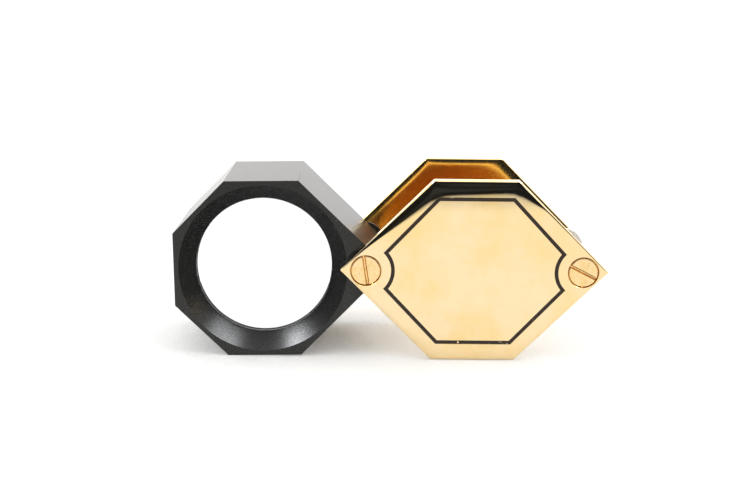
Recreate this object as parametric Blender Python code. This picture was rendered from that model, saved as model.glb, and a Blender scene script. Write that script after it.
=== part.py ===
"""A folding jeweller's loupe: a triplet lens in a black eight-sided housing, which swings on a
pivot post between the two gold-plated cover plates of its case.

Metres, +Z up. +X runs from the lens head towards the case, and -Y is the engraved front. The
origin is on the ground under the middle of the whole loupe, as it lies opened out.
"""
import math

import bmesh
import bpy
from mathutils import Matrix

MM = 0.001

# Case, in millimetres
CASE_LENGTH = 39.6          # from tip to tip
CASE_HEIGHT = 27.2          # across the top and bottom flats
CASE_DEPTH = 23.5           # over the two cover plates
PLATE_THICKNESS = 1.25
SCREW_SPACING = 32.1        # between the pivot axis and the spacer axis

# Lens head
HEAD_FLATS = 26.4           # across flats of the eight-sided housing
PIVOT_OFFSET = 15.2         # from the lens axis to the pivot axis
SIDE_GAP = 0.3              # between the housing and each cover plate
GROUND_GAP = 0.02           # under the housing's lowest corner

# Bore of the housing
RECESS_RADIUS = 12.5        # of both cones, where they meet the faces
APERTURE_RADIUS = 10.2
FRONT_CONE_DEPTH = 3.2
LIP_LENGTH = 0.5
LENS_BORE_RADIUS = 10.8
REAR_CONE_DEPTH = 2.4

# Lens: one crown element between two equal flint ones
LENS_RADIUS = 10.7
OUTER_CURVE = 22.0
INNER_CURVE = 15.0
CROWN_THICKNESS = 11.0
FLINT_THICKNESS = 2.6
CEMENT_GAP = 0.03
LENS_MIDDLE = -0.61         # the lens sits this far in front of the head's middle

# Rings that hold the lens
SEAT_RING_RADIUS = 10.75
SEAT_RING_LENGTH = 0.49
SEAT_RING_INSET = 0.27      # how much the ring's hollow side follows the glass
RETAINING_RING_RADIUS = 10.77
RING_CHAMFER = 0.25
SPANNER_SLOT_WIDTH = 1.4
SPANNER_SLOT_DEPTH = 0.7
FIT_GAP = 0.03              # between pieces that are assembled face to face

# Posts, washers and screws
PIVOT_POST_RADIUS = 1.5
PIVOT_BORE_RADIUS = 1.55
SPACER_POST_RADIUS = 2.0
POST_HOLE_RADIUS = 0.83
POST_HOLE_DEPTH = 4.0
WASHER_BORE_RADIUS = 1.56
PIVOT_WASHER_RADIUS = 3.1
WASHER_THICKNESS = 0.2
SPACER_WASHER_RADIUS = 3.0
SPACER_WASHER_THICKNESS = 0.5
SPACER_WASHER_START = 6.8   # along the post, from its middle towards the rear
SPRING_SHEET = 0.12
SPRING_DISH = 0.12
SCREW_HEAD_RADIUS = 2.24
SCREW_HEAD_THICKNESS = 0.6
SCREW_HEAD_CHAMFER = 0.08
SCREW_SHANK_RADIUS = 0.78
SCREW_REACH = 3.5           # into the post
SCREW_HOLE_RADIUS = 0.9
COUNTERBORE_RADIUS = 2.33
COUNTERBORE_DEPTH = 0.68
FLUSH_STEP = 0.03           # screw heads lie this far below the plate
SCREW_SLOT_WIDTH = 0.5
SCREW_SLOT_DEPTH = 0.35

# Engraved border of the front plate
BORDER_INSET = 2.82         # of its top and bottom lines
BORDER_TIP = 15.64          # from the middle to where two slanted lines would meet
BORDER_SLANT = 46.7         # degrees, between the slanted and the level lines
BORDER_ARC_RADIUS = 4.0     # round each screw
BORDER_WIDTH = 0.56
BORDER_DEPTH = 0.15
ENAMEL_GAP = 0.01

# Fineness of round shapes
LARGE_SEGMENTS = 64
LENS_SEGMENTS = 48
LENS_RINGS = 4
SMALL_SEGMENTS = 32
LUG_SEGMENTS = 10
BORDER_ARC_SEGMENTS = 12
CUT_OVERSHOOT = 0.5         # how far a cutter passes the face that it opens

# Worked out from the above
HALF_CASE = CASE_DEPTH / 2
PLATE_INNER = HALF_CASE - PLATE_THICKNESS
HALF_HEAD = PLATE_INNER - SIDE_GAP
HEAD_HALF_FLATS = HEAD_FLATS / 2
HEAD_HALF_SIDE = HEAD_HALF_FLATS * math.tan(math.pi / 8)
LUG_RADIUS = HEAD_HALF_FLATS - PIVOT_OFFSET * math.sqrt(0.5)
CORNER_REACH = math.hypot(PIVOT_OFFSET + HEAD_HALF_SIDE, HEAD_HALF_FLATS)
CORNER_ANGLE = math.atan2(HEAD_HALF_FLATS, PIVOT_OFFSET + HEAD_HALF_SIDE)
DROOP = math.asin((CASE_HEIGHT / 2 - GROUND_GAP) / CORNER_REACH) - CORNER_ANGLE
HEAD_REACH = ((PIVOT_OFFSET + HEAD_HALF_FLATS) * math.cos(DROOP)
              + HEAD_HALF_SIDE * math.sin(DROOP))
WHOLE_LENGTH = HEAD_REACH + SCREW_SPACING / 2 + CASE_LENGTH / 2
CASE_X = WHOLE_LENGTH / 2 - CASE_LENGTH / 2
PIVOT_X = CASE_X - SCREW_SPACING / 2
SPACER_X = CASE_X + SCREW_SPACING / 2
AXIS_Z = CASE_HEIGHT / 2


def clear_scene():
    for obj in list(bpy.data.objects):
        bpy.data.objects.remove(obj, do_unlink=True)


def material(name, colour, roughness, metallic, transmission=0.0, ior=1.5):
    """A plain Principled material."""
    made = bpy.data.materials.new(name)
    made.use_nodes = True
    shader = made.node_tree.nodes["Principled BSDF"]
    shader.inputs["Base Color"].default_value = (*colour, 1.0)
    shader.inputs["Roughness"].default_value = roughness
    shader.inputs["Metallic"].default_value = metallic
    shader.inputs["Transmission Weight"].default_value = transmission
    shader.inputs["IOR"].default_value = ior
    made.diffuse_color = (*colour, 1.0)
    return made


def empty(name, x, z, turn=0.0):
    """A guide on an axis that runs along Y, turned clockwise as seen from the front."""
    made = bpy.data.objects.new(name, None)
    made.location = (x * MM, 0.0, z * MM)
    made.rotation_euler = (0.0, turn, 0.0)
    bpy.context.collection.objects.link(made)
    return made


def place(name, mesh_data, finish, parent, x=0.0, z=0.0):
    """An object with one material, x and z millimetres from its parent's axis."""
    made = bpy.data.objects.new(name, mesh_data)
    made.location = (x * MM, 0.0, z * MM)
    if parent is not None:
        made.parent = parent
    if finish is not None:
        made.data.materials.append(finish)
    bpy.context.collection.objects.link(made)
    return made


def finished_mesh(name, build, smooth=True):
    """Turn a bmesh drawn in millimetres into a mesh in metres, with its faces pointing out."""
    bmesh.ops.scale(build, vec=(MM, MM, MM), verts=build.verts)
    bmesh.ops.recalc_face_normals(build, faces=build.faces)
    made = bpy.data.meshes.new(name)
    build.to_mesh(made)
    build.free()
    if smooth:
        made.shade_smooth()
        made.set_sharp_from_angle(angle=math.radians(30))
    return made


def turned(name, profile, segments):
    """Turn a profile of (radius, y) points about the Y axis. A point at radius 0 is a pole."""
    build = bmesh.new()
    rings = []
    for radius, y in profile:
        if radius == 0.0:
            rings.append([build.verts.new((0.0, y, 0.0))])
            continue
        ring = []
        for step in range(segments):
            angle = 2 * math.pi * step / segments
            ring.append(build.verts.new((radius * math.cos(angle), y, radius * math.sin(angle))))
        rings.append(ring)
    pairs = list(zip(rings, rings[1:]))
    if len(rings[0]) > 1:
        pairs.append((rings[-1], rings[0]))
    for first, second in pairs:
        for step in range(segments):
            following = (step + 1) % segments
            corners = [first[step % len(first)], first[following % len(first)],
                       second[following % len(second)], second[step % len(second)]]
            build.faces.new(list(dict.fromkeys(corners)))
    return finished_mesh(name, build)


def prism(name, outline, near, far):
    """Extrude a closed outline of (x, z) points along Y."""
    build = bmesh.new()
    verts = [build.verts.new((x, near, z)) for x, z in outline]
    face = build.faces.new(verts)
    grown = bmesh.ops.extrude_face_region(build, geom=[face])
    moved = [item for item in grown["geom"] if isinstance(item, bmesh.types.BMVert)]
    bmesh.ops.translate(build, vec=(0.0, far - near, 0.0), verts=moved)
    return finished_mesh(name, build)


def frame_prism(name, outer, inner, near, far):
    """Extrude the strip between two outlines with equally many points along Y."""
    build = bmesh.new()
    loops = []
    for outline, y in ((outer, near), (inner, near), (inner, far), (outer, far)):
        loops.append([build.verts.new((x, y, z)) for x, z in outline])
    for first, second in zip(loops, loops[1:] + loops[:1]):
        for step in range(len(first)):
            following = (step + 1) % len(first)
            build.faces.new((first[step], first[following], second[following], second[step]))
    return finished_mesh(name, build, smooth=False)


def bar(name, length, width, near, far, angle=0.0):
    """A box across the Y axis, turned about it."""
    build = bmesh.new()
    bmesh.ops.create_cube(build, size=1.0)
    bmesh.ops.scale(build, vec=(length, abs(far - near), width), verts=build.verts)
    bmesh.ops.translate(build, vec=(0.0, (near + far) / 2, 0.0), verts=build.verts)
    bmesh.ops.rotate(build, matrix=Matrix.Rotation(angle, 3, "Y"), verts=build.verts)
    return finished_mesh(name, build, smooth=False)


def cut(target, cutter_mesh, x=0.0, z=0.0):
    """Cut a mesh out of an object with a hidden cutter."""
    cutter = place(cutter_mesh.name, cutter_mesh, None, target.parent, x, z)
    cutter.hide_render = True
    cutter.display_type = "WIRE"
    boolean = target.modifiers.new(cutter_mesh.name, "BOOLEAN")
    boolean.operation = "DIFFERENCE"
    boolean.solver = "EXACT"
    boolean.object = cutter


def case_outline():
    """The long six-sided outline with its square tips at the left and right."""
    half_length = CASE_LENGTH / 2
    half_height = CASE_HEIGHT / 2
    half_flat = half_length - half_height
    return [(half_length, 0.0), (half_flat, half_height), (-half_flat, half_height),
            (-half_length, 0.0), (-half_flat, -half_height), (half_flat, -half_height)]


def border_outline(shift):
    """The border's line moved inwards by shift, with an arc round each screw."""
    slant = math.radians(BORDER_SLANT)
    run = 1 / math.tan(slant)
    square = 1 + run ** 2
    radius = BORDER_ARC_RADIUS + shift
    screw = SCREW_SPACING / 2
    tip = BORDER_TIP - shift / math.sin(slant)
    top = CASE_HEIGHT / 2 - BORDER_INSET - shift
    corner = tip - top * run
    offset = screw - tip
    meet_z = (math.sqrt(square * radius ** 2 - offset ** 2) - offset * run) / square
    half_arc = math.asin(meet_z / radius)
    right = []
    for step in range(BORDER_ARC_SEGMENTS + 1):
        angle = half_arc - 2 * half_arc * step / BORDER_ARC_SEGMENTS
        right.append((screw - radius * math.cos(angle), radius * math.sin(angle)))
    left = [(-x, -z) for x, z in right]
    return [(corner, top)] + right + [(corner, -top), (-corner, -top)] + left + [(-corner, top)]


def cover_plate(name, side, finish, case):
    """A cover plate; side is -1 at the front and 1 at the rear."""
    outer = side * HALF_CASE
    plate = place(name, prism(name, case_outline(), outer, side * PLATE_INNER), finish, case)
    floor = outer - side * COUNTERBORE_DEPTH
    past_outer = outer + side * CUT_OVERSHOOT
    past_inner = side * (PLATE_INNER - CUT_OVERSHOOT)
    profile = [(0.0, past_outer), (COUNTERBORE_RADIUS, past_outer), (COUNTERBORE_RADIUS, floor),
               (SCREW_HOLE_RADIUS, floor), (SCREW_HOLE_RADIUS, past_inner), (0.0, past_inner)]
    for end, x in (("pivot", -SCREW_SPACING / 2), ("spacer", SCREW_SPACING / 2)):
        cut(plate, turned(f"{name}_{end}_hole", profile, SMALL_SEGMENTS), x)
    return plate


def engraved_border(plate, finish, case):
    """The groove in the front plate and the enamel that fills it."""
    front = -HALF_CASE
    half = BORDER_WIDTH / 2
    floor = front + BORDER_DEPTH
    groove = frame_prism("border_groove", border_outline(-half), border_outline(half),
                         front - CUT_OVERSHOOT, floor)
    cut(plate, groove)
    half -= ENAMEL_GAP
    fill = frame_prism("front_border_enamel", border_outline(-half), border_outline(half),
                       front + ENAMEL_GAP, floor - ENAMEL_GAP)
    place("front_border_enamel", fill, finish, case)


def post(name, radius, near, far, finish, parent):
    """A round post with a tapped hole in each end."""
    near_floor = near + POST_HOLE_DEPTH
    far_floor = far - POST_HOLE_DEPTH
    profile = [(0.0, near_floor), (POST_HOLE_RADIUS, near_floor), (POST_HOLE_RADIUS, near),
               (radius, near), (radius, far), (POST_HOLE_RADIUS, far),
               (POST_HOLE_RADIUS, far_floor), (0.0, far_floor)]
    place(name, turned(name, profile, SMALL_SEGMENTS), finish, parent)


def ring(name, inner, outer, near, far, segments, finish, parent):
    """A flat ring."""
    profile = [(inner, near), (outer, near), (outer, far), (inner, far)]
    return place(name, turned(name, profile, segments), finish, parent)


def spring_washer(finish, parent):
    """A dished disc spring behind the lug, which makes the head stay where it is put."""
    near = HALF_HEAD + FIT_GAP
    profile = [(WASHER_BORE_RADIUS, near), (PIVOT_WASHER_RADIUS, near + SPRING_DISH),
               (PIVOT_WASHER_RADIUS, near + SPRING_DISH + SPRING_SHEET),
               (WASHER_BORE_RADIUS, near + SPRING_SHEET)]
    name = "pivot_spring_washer"
    place(name, turned(name, profile, SMALL_SEGMENTS), finish, parent)


def screw(name, side, slot_angle, finish, parent):
    """A slotted screw whose flat head lies flush in its plate."""
    top = side * (HALF_CASE - FLUSH_STEP)
    rim = top - side * SCREW_HEAD_CHAMFER
    under = top - side * SCREW_HEAD_THICKNESS
    end = side * (PLATE_INNER - SCREW_REACH)
    profile = [(0.0, top), (SCREW_HEAD_RADIUS - SCREW_HEAD_CHAMFER, top),
               (SCREW_HEAD_RADIUS, rim), (SCREW_HEAD_RADIUS, under),
               (SCREW_SHANK_RADIUS, under), (SCREW_SHANK_RADIUS, end), (0.0, end)]
    made = place(name, turned(name, profile, SMALL_SEGMENTS), finish, parent)
    slot_floor = top - side * SCREW_SLOT_DEPTH
    length = 2 * (SCREW_HEAD_RADIUS + CUT_OVERSHOOT)
    cut(made, bar(f"{name}_slot", length, SCREW_SLOT_WIDTH, slot_floor,
                  top + side * CUT_OVERSHOOT, slot_angle))


def head_outline():
    """Seven flats of the octagon, and a lug that rounds off the long corner about the pivot."""
    flats = HEAD_HALF_FLATS
    side = HEAD_HALF_SIDE
    corners = [(side, flats), (-side, flats), (-flats, side),
               (-flats, -side), (-side, -flats), (side, -flats)]
    outline = [(x - PIVOT_OFFSET, z) for x, z in corners]
    for step in range(LUG_SEGMENTS + 1):
        angle = math.pi / 2 * (step / LUG_SEGMENTS - 0.5)
        outline.append((LUG_RADIUS * math.cos(angle), LUG_RADIUS * math.sin(angle)))
    return outline


def lens_housing(finish, head):
    """The black body, with a stepped bore for the lens and a plain bore for the pivot post."""
    housing = place("lens_housing", prism("lens_housing", head_outline(), -HALF_HEAD, HALF_HEAD),
                    finish, head)
    lip_start = -HALF_HEAD + FRONT_CONE_DEPTH
    lip_end = lip_start + LIP_LENGTH
    rear_start = HALF_HEAD - REAR_CONE_DEPTH
    front_slope = (RECESS_RADIUS - APERTURE_RADIUS) / FRONT_CONE_DEPTH
    rear_slope = (RECESS_RADIUS - LENS_BORE_RADIUS) / REAR_CONE_DEPTH
    past = HALF_HEAD + CUT_OVERSHOOT
    front_radius = RECESS_RADIUS + front_slope * CUT_OVERSHOOT
    rear_radius = RECESS_RADIUS + rear_slope * CUT_OVERSHOOT
    profile = [(0.0, -past), (front_radius, -past), (APERTURE_RADIUS, lip_start),
               (APERTURE_RADIUS, lip_end), (LENS_BORE_RADIUS, lip_end),
               (LENS_BORE_RADIUS, rear_start), (rear_radius, past), (0.0, past)]
    cut(housing, turned("lens_bore", profile, LARGE_SEGMENTS), -PIVOT_OFFSET)
    pivot = [(0.0, -past), (PIVOT_BORE_RADIUS, -past), (PIVOT_BORE_RADIUS, past), (0.0, past)]
    cut(housing, turned("pivot_bore", pivot, SMALL_SEGMENTS))


def sphere_points(vertex, curve, outwards):
    """Points of a spherical face whose middle is at vertex. Outwards runs from pole to rim."""
    points = []
    for step in range(LENS_RINGS + 1):
        radius = LENS_RADIUS * step / LENS_RINGS
        sag = abs(curve) - math.sqrt(curve ** 2 - radius ** 2)
        points.append((radius, vertex + math.copysign(sag, curve)))
    if outwards:
        return points
    return points[::-1]


def lens_element(name, front, front_curve, rear, rear_curve, finish, head):
    """A glass element between two spherical faces; a positive curve bends towards the rear."""
    profile = sphere_points(LENS_MIDDLE + front, front_curve, True)
    profile += sphere_points(LENS_MIDDLE + rear, rear_curve, False)
    place(name, turned(name, profile, LENS_SEGMENTS), finish, head, -PIVOT_OFFSET)


def triplet_lens(flint, crown, head):
    """The crown element and the two flint elements cemented to it."""
    half = CROWN_THICKNESS / 2
    whole = half + FLINT_THICKNESS
    joint = half + CEMENT_GAP
    lens_element("lens_front_flint", -whole, OUTER_CURVE, -joint, INNER_CURVE, flint, head)
    lens_element("lens_centre_crown", -half, INNER_CURVE, half, -INNER_CURVE, crown, head)
    lens_element("lens_rear_flint", joint, -INNER_CURVE, whole, -OUTER_CURVE, flint, head)


def seat_ring(name, side, start, finish, head):
    """A ring with a hollow face that the glass beds in; side points from it to the outside."""
    end = start - side * SEAT_RING_LENGTH
    hollow = end + side * SEAT_RING_INSET
    profile = [(APERTURE_RADIUS, start), (SEAT_RING_RADIUS, start), (SEAT_RING_RADIUS, end),
               (APERTURE_RADIUS, hollow)]
    place(name, turned(name, profile, LARGE_SEGMENTS), finish, head, -PIVOT_OFFSET)


def lens_rings(seat_finish, ring_finish, head):
    """A seat ring on each side of the lens, and the threaded ring that holds it all."""
    front = -HALF_HEAD + FRONT_CONE_DEPTH + LIP_LENGTH + FIT_GAP
    rear = 2 * LENS_MIDDLE - front
    seat_ring("front_seat_ring", -1, front, seat_finish, head)
    seat_ring("rear_seat_ring", 1, rear, seat_finish, head)
    near = rear + FIT_GAP
    far = HALF_HEAD - REAR_CONE_DEPTH
    profile = [(APERTURE_RADIUS, near), (RETAINING_RING_RADIUS, near),
               (RETAINING_RING_RADIUS, far), (APERTURE_RADIUS + RING_CHAMFER, far),
               (APERTURE_RADIUS, far - RING_CHAMFER)]
    name = "retaining_ring"
    made = place(name, turned(name, profile, LARGE_SEGMENTS), ring_finish, head, -PIVOT_OFFSET)
    length = 2 * (RETAINING_RING_RADIUS + CUT_OVERSHOOT)
    cut(made, bar("spanner_slots", length, SPANNER_SLOT_WIDTH, far - SPANNER_SLOT_DEPTH,
                  far + CUT_OVERSHOOT), -PIVOT_OFFSET)


def build():
    clear_scene()
    gold = material("gold_plate", (0.86, 0.62, 0.28), 0.08, 1.0)
    screw_gold = material("screw_gold", (0.84, 0.58, 0.25), 0.16, 1.0)
    enamel = material("black_enamel", (0.03, 0.026, 0.022), 0.45, 0.0)
    steel = material("pivot_steel", (0.55, 0.55, 0.54), 0.25, 1.0)
    nickel = material("spacer_nickel", (0.72, 0.71, 0.68), 0.2, 1.0)
    blackened = material("blackened_steel", (0.06, 0.06, 0.06), 0.4, 1.0)
    anodised = material("black_anodised", (0.02, 0.021, 0.021), 0.4, 0.2)
    rubber = material("seat_plastic", (0.02, 0.02, 0.02), 0.7, 0.0)
    flint = material("flint_glass", (1.0, 1.0, 1.0), 0.0, 0.0, 1.0, 1.62)
    crown = material("crown_glass", (1.0, 1.0, 1.0), 0.0, 0.0, 1.0, 1.52)

    case = empty("case_middle", CASE_X, AXIS_Z)
    pivot = empty("pivot_axis", PIVOT_X, AXIS_Z)
    spacer = empty("spacer_axis", SPACER_X, AXIS_Z)
    head = empty("lens_head_pivot", PIVOT_X, AXIS_Z, -DROOP)

    front_plate = cover_plate("front_cover_plate", -1, gold, case)
    engraved_border(front_plate, enamel, case)
    cover_plate("rear_cover_plate", 1, gold, case)

    post_end = PLATE_INNER - FIT_GAP
    post("pivot_post", PIVOT_POST_RADIUS, -post_end, post_end, steel, pivot)
    washer_near = -HALF_HEAD - (SIDE_GAP + WASHER_THICKNESS) / 2
    ring("pivot_washer", WASHER_BORE_RADIUS, PIVOT_WASHER_RADIUS, washer_near,
         washer_near + WASHER_THICKNESS, SMALL_SEGMENTS, blackened, pivot)
    spring_washer(blackened, pivot)
    screw("pivot_screw_front", -1, math.radians(80), screw_gold, pivot)
    screw("pivot_screw_rear", 1, math.radians(35), screw_gold, pivot)

    post("spacer_post", SPACER_POST_RADIUS, -post_end, post_end, nickel, spacer)
    ring("spacer_washer", SPACER_POST_RADIUS + FIT_GAP, SPACER_WASHER_RADIUS,
         SPACER_WASHER_START, SPACER_WASHER_START + SPACER_WASHER_THICKNESS, SMALL_SEGMENTS,
         nickel, spacer)
    screw("spacer_screw_front", -1, math.radians(25.5), screw_gold, spacer)
    screw("spacer_screw_rear", 1, math.radians(-60), screw_gold, spacer)

    lens_housing(anodised, head)
    triplet_lens(flint, crown, head)
    lens_rings(rubber, anodised, head)


build()
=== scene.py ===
"""The looks of the folding loupe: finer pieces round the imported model, their materials, the
studio and the camera. Metres, +Z up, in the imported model's own frame."""
import math

import bmesh
import bpy
from mathutils import Matrix, Vector


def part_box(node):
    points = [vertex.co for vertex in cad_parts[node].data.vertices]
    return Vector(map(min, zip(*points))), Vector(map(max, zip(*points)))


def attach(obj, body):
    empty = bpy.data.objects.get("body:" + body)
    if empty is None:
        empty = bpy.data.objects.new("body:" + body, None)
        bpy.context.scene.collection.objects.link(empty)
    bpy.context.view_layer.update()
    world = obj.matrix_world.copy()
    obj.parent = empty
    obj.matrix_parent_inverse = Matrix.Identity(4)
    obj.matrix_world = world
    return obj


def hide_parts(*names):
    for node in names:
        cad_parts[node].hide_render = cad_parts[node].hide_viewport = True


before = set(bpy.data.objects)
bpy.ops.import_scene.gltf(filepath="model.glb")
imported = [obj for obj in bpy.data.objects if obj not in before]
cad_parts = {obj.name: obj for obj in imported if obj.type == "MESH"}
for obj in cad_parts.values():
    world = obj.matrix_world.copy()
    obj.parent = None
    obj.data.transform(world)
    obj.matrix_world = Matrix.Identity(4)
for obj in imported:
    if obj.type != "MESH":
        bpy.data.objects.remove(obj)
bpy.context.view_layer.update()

MM = 0.001

# Round shapes
FINE = 192
MEDIUM = 96

# Rolled edges of the cover plates, left by the buffing wheel. A pair of widths runs from the
# corner of the level edge to the tip, and the last number is how soon it gets there.
PLATE_EDGE_SPACING = 0.4 * MM
TOP_ROLL = 2.3 * MM
TOP_ROLL_CHANGE = 0.3 * MM
BOTTOM_ROLL = 1.6 * MM
UPPER_RIGHT_ROLL = (1.4 * MM, 0.1 * MM, 0.4)
UPPER_LEFT_ROLL = (2.0 * MM, 0.1 * MM, 1.0)
LOWER_ROLL = (1.3 * MM, 0.6 * MM, 1.0)
INNER_LEVEL_ROLL = 2.1 * MM
INNER_UPPER_RIGHT_ROLL = (2.7 * MM, 1.6 * MM, 0.6)
INNER_LOWER_ROLL = 2.0 * MM
OUTER_ROLL_ANGLE = math.radians(28)
INNER_ROLL_ANGLE = math.radians(12.2)
OUTER_ROLL_POWER = 1.6
INNER_ROLL_POWER = 2.0
OUTER_CORNER_SOFTNESS = 0.36
INNER_CORNER_SOFTNESS = 0.4
OUTER_RIM_FILLET = 0.29 * MM
TIP_RIM_FILLET = 0.2 * MM
PIVOT_TIP_FILLET = 0.04 * MM
FILLET_REACH = 0.85
INNER_RIM_FILLET = 0.16 * MM
ROLL_RINGS = [value * MM for value in (0, .02, .045, .08, .12, .17, .23, .32, .45, .62, .82, 1.05,
                                       1.3, 1.6, 1.9, 2.2, 2.5, 2.8, 3.1, 3.4)]

# Engraved border of the front plate
BORDER_INSET = 2.82 * MM
BORDER_TIP = 15.64 * MM
BORDER_SLANT = math.radians(46.7)
BORDER_ARC_RADIUS = 4.0 * MM
BORDER_WIDTH = 0.56 * MM
BORDER_DEPTH = 0.15 * MM
BORDER_ARC_STEPS = 40
ENAMEL_GAP = 0.01 * MM
ENAMEL_SINK = 0.02 * MM

# Screws
SCREW_HOLE_RADIUS = 0.9 * MM
COUNTERBORE_GAP = 0.07 * MM
SCREW_HEAD_GAP = 0.1 * MM
COUNTERBORE_DEPTH = 0.68 * MM
COUNTERBORE_EDGE = 0.015 * MM
SCREW_SLOT_WIDTH = 0.5 * MM
SCREW_SLOT_DEPTH = 0.5 * MM
SCREW_SLOT_FILLET = 0.2 * MM
PIVOT_FRONT_SLOT = math.radians(81)
PIVOT_REAR_SLOT = math.radians(35)
SPACER_FRONT_SLOT = math.radians(27)
SPACER_REAR_SLOT = math.radians(-60)
SCREW_RIM = 0.12 * MM
SCREW_HEAD_THICKNESS = 0.6 * MM
SCREW_SHANK_RADIUS = 0.78 * MM
THREAD_PITCH = 0.35 * MM
THREAD_DEPTH = 0.12 * MM

# Posts and washers
POST_HOLE_RADIUS = 0.83 * MM
POST_HOLE_DEPTH = 4.0 * MM
POST_CHAMFER = 0.12 * MM
SPACER_WASHER_BORE = 2.02 * MM
PIVOT_WASHER_BORE = 1.56 * MM
WASHER_SOFTNESS = 0.04 * MM
SPRING_SHEET = 0.12 * MM
SPRING_SOFTNESS = 0.03 * MM

# Lens housing
HEAD_HALF_FLATS = 13.2 * MM
PIVOT_OFFSET = 15.2 * MM
LUG_STEPS = 24
HOUSING_EDGE = 0.07 * MM
RECESS_RADIUS = 12.5 * MM
APERTURE_RADIUS = 10.2 * MM
FRONT_CONE_DEPTH = 2.9 * MM
LIP_LENGTH = 0.8 * MM
LIP_EDGE = 0.04 * MM        # over which the lip's edge is rounded off
LENS_BORE_RADIUS = 10.8 * MM
REAR_CONE_DEPTH = 2.4 * MM
PIVOT_BORE_RADIUS = 1.55 * MM

# Lens, its seats and its retaining ring
LENS_RADIUS = 10.7 * MM
OUTER_CURVE = 22.0 * MM
LENS_RINGS = 24
SEAT_STEP = 0.08 * MM       # by which the seats' bore is smaller than the aperture
SEAT_RADIUS = 10.75 * MM
SEAT_HOLLOW = 0.27 * MM
THREADED_RADIUS = 10.77 * MM
THREADED_GROOVE = 0.1 * MM
THREADED_PITCH = 0.5 * MM
THREADED_CHAMFER = 0.25 * MM
SPANNER_SLOT_HALF = 0.7 * MM

CUT_OVERSHOOT = 0.5 * MM
LARGE_FACE = 5.0 * MM ** 2  # flat shading from this area upwards
END_FACE = 0.9999           # and where a normal lies this close to the Y axis

# Colours
BRIGHT_GOLD = (0.89, 0.70, 0.42)
CLOUDED_GOLD = (0.87, 0.65, 0.31)
# painted shade between the plates: the inner faces are a darker gold
SHADED_INNER_GOLD = (0.80, 0.56, 0.21)
# painted shade in the counterbores, on the screws' rims and in their slots: a darker, more orange
# gold
SHADED_RECESS_GOLD = (0.78, 0.44, 0.10)
SCREW_GOLD = (0.89, 0.66, 0.35)
WORN_SCREW_GOLD = (0.85, 0.59, 0.25)
DARK_ENAMEL = (0.022, 0.015, 0.010)
BROWN_ENAMEL = (0.050, 0.034, 0.024)
CHIPPED_GOLD = (0.86, 0.70, 0.44)
ANODISED_BLACK = (0.0185, 0.0185, 0.0165)
SMUDGED_BLACK = (0.0255, 0.0255, 0.0225)
# painted shade: a darker black inside the lens recess
SHADED_RECESS_BLACK = (0.009, 0.0092, 0.0086)
BARE_ALUMINIUM = (0.55, 0.55, 0.52)
DARK_PLASTIC = (0.008, 0.008, 0.008)
PALE_PLASTIC = (0.02, 0.02, 0.02)
BLACKENED_GLASS = (0.01, 0.01, 0.01)
SHADED_PAPER = (0.86, 0.855, 0.845)
LIT_PAPER = (0.95, 0.948, 0.94)
# painted reflection of the unlit room in front, and faint shapes painted into it
PAINTED_DARK_ROOM = (0.012, 0.014, 0.021)
PAINTED_ROOM_SHAPES = (0.032, 0.040, 0.058)
PURE_WHITE = (1.0, 1.0, 1.0)
COOL_WHITE = (0.96, 0.98, 1.0)
WARM_WHITE = (1.0, 0.966, 0.938)
SOFT_WHITE = (1.0, 0.98, 0.96)

# Turned metals: colour, dull colour, and lowest and highest roughness
PIVOT_STEEL = ((0.6, 0.6, 0.58), (0.45, 0.45, 0.44), (0.2, 0.35))
SATIN_NICKEL = ((0.84, 0.79, 0.72), (0.68, 0.63, 0.57), (0.46, 0.6))
BLACKENED_STEEL = ((0.07, 0.07, 0.07), (0.03, 0.03, 0.03), (0.3, 0.45))

# Radiance of the white surroundings
WHITE = 1.16                # in reflections, low down
BRIGHT = 1.6                # in reflections, of the paper behind
ZENITH = 2.0                # in reflections, overhead
OVEREXPOSED = 1.2           # seen directly
SKY_FOR_MATT = 0.78         # of the sky, as matt surfaces see it

# The paper, which glows more and more from GLOW_START to GLOW_FULL away from GLOW_CENTRE
FLOOR_HALF = 0.6
GLOW_CENTRE = (0.0, 0.015, 0.0)
GLOW_START = 0.014
GLOW_FULL = 0.095

# A glowing card that paints the reflection of the dark room in front: its ends along X, and a path
# of (y, z) from the floor upwards
ROOM_ENDS = (-0.28, 0.30)
ROOM_PATH = ((-0.13, 0.001), (-0.27, 0.001), (-0.271, 0.30))
ROOM_DARK_FROM = -0.22

# Lamps: place, width, height, radiance and colour
LAMP_TARGET = (0.0, 0.0, 0.01)
LEFT_LAMP = ((-0.52, -0.12, 0.735), 0.16, 0.28, 73.0, COOL_WHITE)
RIGHT_LAMP = ((0.46, -0.11, 0.77), 0.14, 0.46, 29.0, COOL_WHITE)
OVERHEAD_LAMP = ((0.0, -0.1, 0.95), 1.6, 1.2, 1.5, PURE_WHITE)
BACK_LAMP = ((0.0, 0.9, 0.3), 1.8, 0.6, 1.0, WARM_WHITE)
LEFT_BACK_LAMP = ((-0.42, 0.9, 0.14), 0.5, 0.6, 1.1, SOFT_WHITE)

# Camera: its place from the middle of the front plate, and its turns
SENSOR_WIDTH = 36.0
FOCAL_LENGTH = 61.57
CAMERA_X = -17.35 * MM
CAMERA_BACK = 183.6 * MM
CAMERA_Z = 42.79 * MM
CAMERA_DOWN = math.radians(12.13)
CAMERA_RIGHT = math.radians(0.83)
CAMERA_LEAN = math.radians(0.76)


# ---------------------------------------------------------------- mesh tools

def finished(name, build, sharp_angle=30.0):
    """A linked object from a bmesh, smooth except at edges sharper than sharp_angle."""
    bmesh.ops.recalc_face_normals(build, faces=build.faces)
    mesh = bpy.data.meshes.new(name)
    build.to_mesh(mesh)
    build.free()
    mesh.shade_smooth()
    mesh.set_sharp_from_angle(angle=math.radians(sharp_angle))
    made = bpy.data.objects.new(name, mesh)
    bpy.context.collection.objects.link(made)
    return made


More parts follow.
